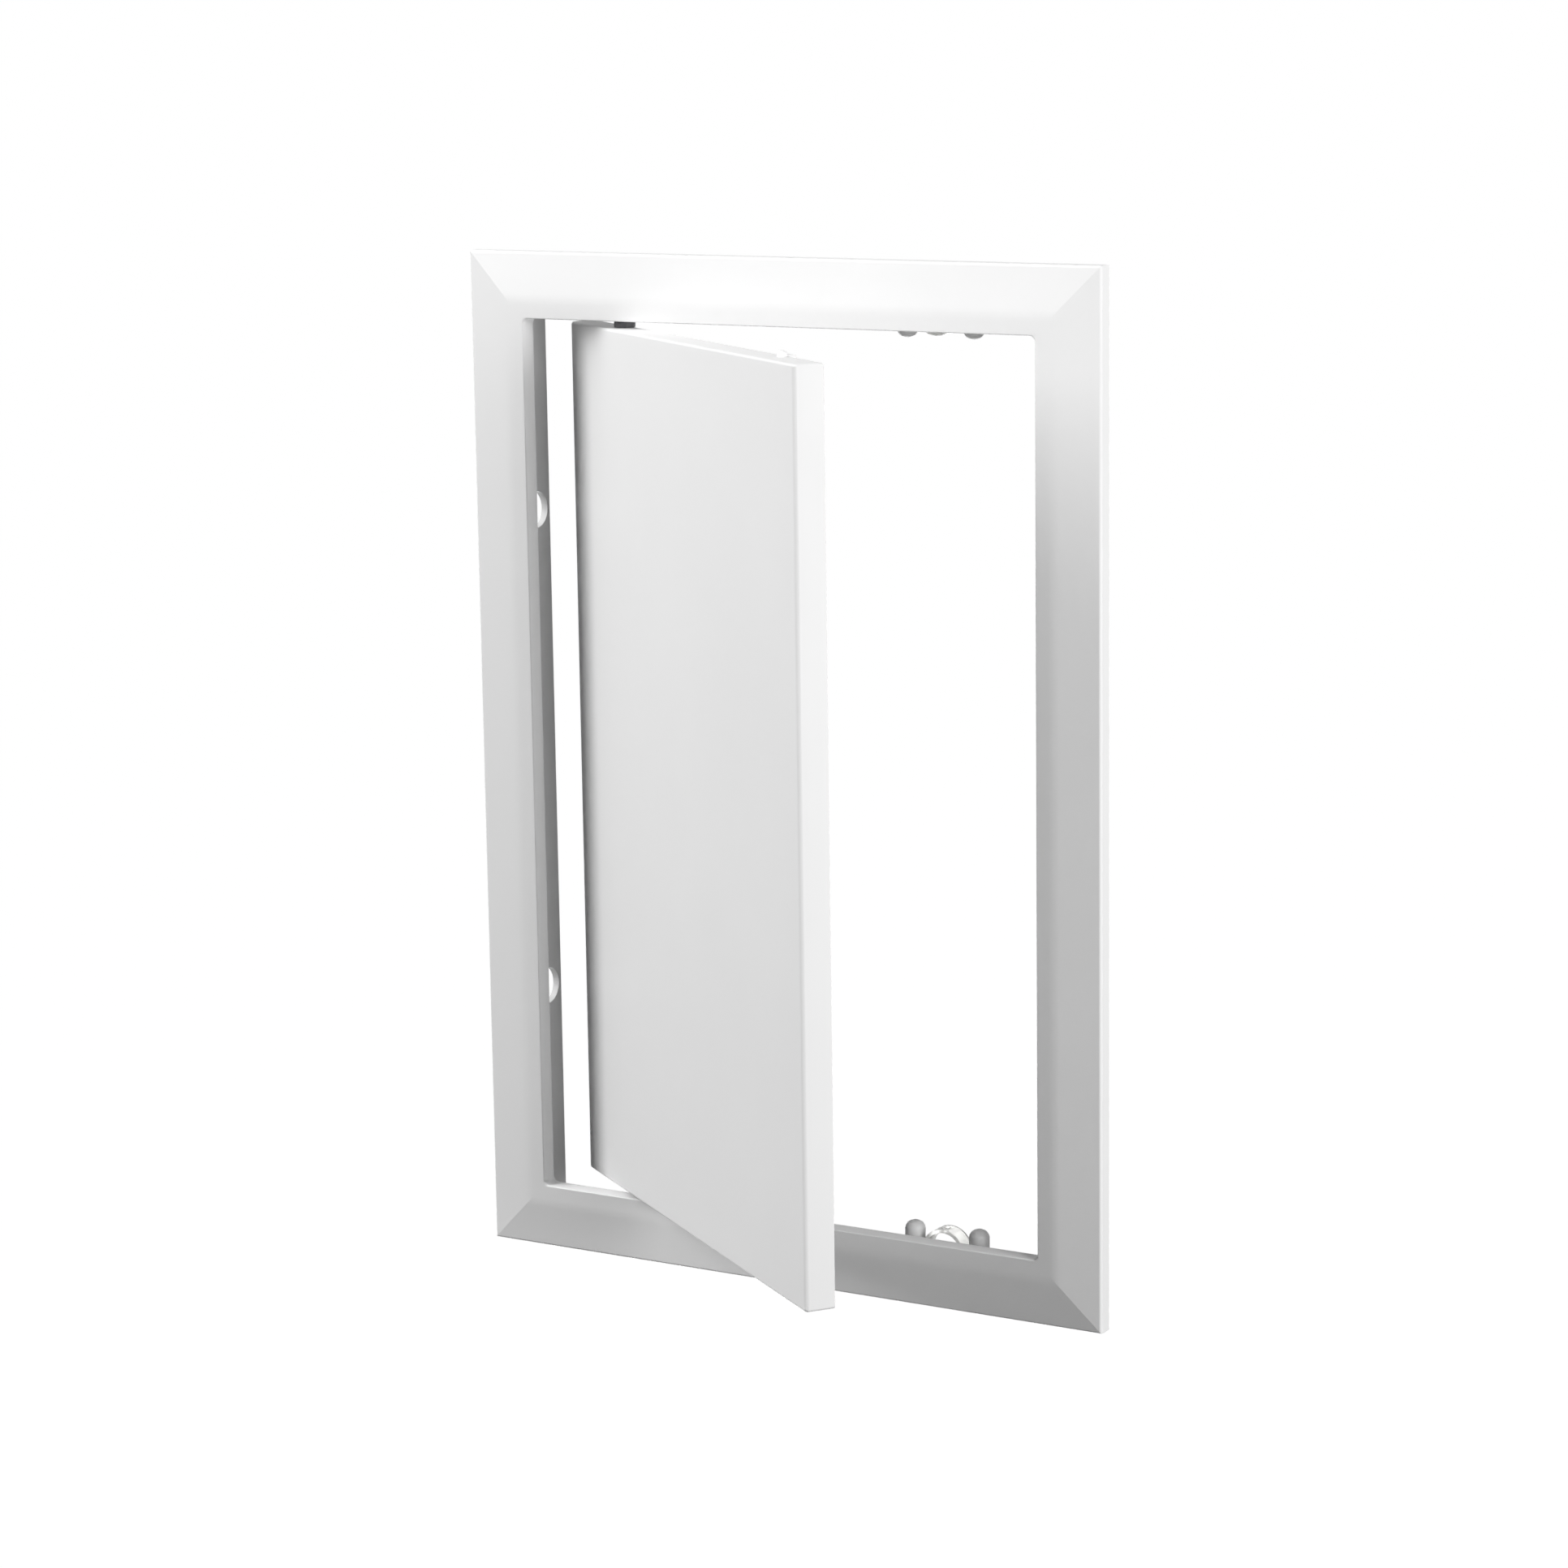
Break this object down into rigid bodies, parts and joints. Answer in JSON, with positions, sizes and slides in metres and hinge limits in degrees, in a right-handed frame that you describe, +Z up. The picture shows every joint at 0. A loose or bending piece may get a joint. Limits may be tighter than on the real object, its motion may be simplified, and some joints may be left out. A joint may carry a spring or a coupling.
{
  "type": "hinged access panel",
  "caption": "White plastic access panel: bevelled frame with a sleeve for a wall or ceiling cut-out, and a flush door that swings on pivot pins and snaps shut.",
  "frame": {"origin": "centre of the wall cut-out, in the plane of the wall face that the flange rests on", "axes": "+X across to the free side of the door, +Y into the wall, +Z up along the long side"},
  "size_m": [0.218, 0.11, 0.318],
  "materials": {
    "white_plastic": "satin moulded plastic",
    "stud_plastic": "satin light grey plastic",
    "spring_plastic": "satin natural white plastic",
    "collar_plastic": "matt dark grey plastic",
    "steel": "zinc plated steel"
  },
  "bodies": {
    "frame": {"frame": "white_plastic", "hinge_block_top": "white_plastic", "hinge_block_bottom": "white_plastic", "hinge_block_screws": "steel", "catch_studs": "stud_plastic", "catch_bow_top": "spring_plastic", "catch_bow_bottom": "spring_plastic"},
    "door": {"door_leaf": "white_plastic", "hinge_pin_top": "steel", "hinge_pin_bottom": "steel", "hinge_collar_top": "collar_plastic", "hinge_collar_bottom": "collar_plastic"}
  },
  "joints": [
    {"name": "door_hinge", "type": "hinge", "parent": "frame", "child": "door", "pos_m": [-0.0555, -0.0002, 0], "axis": [0, 0, -1], "range_deg": [-36, 114]}
  ]
}
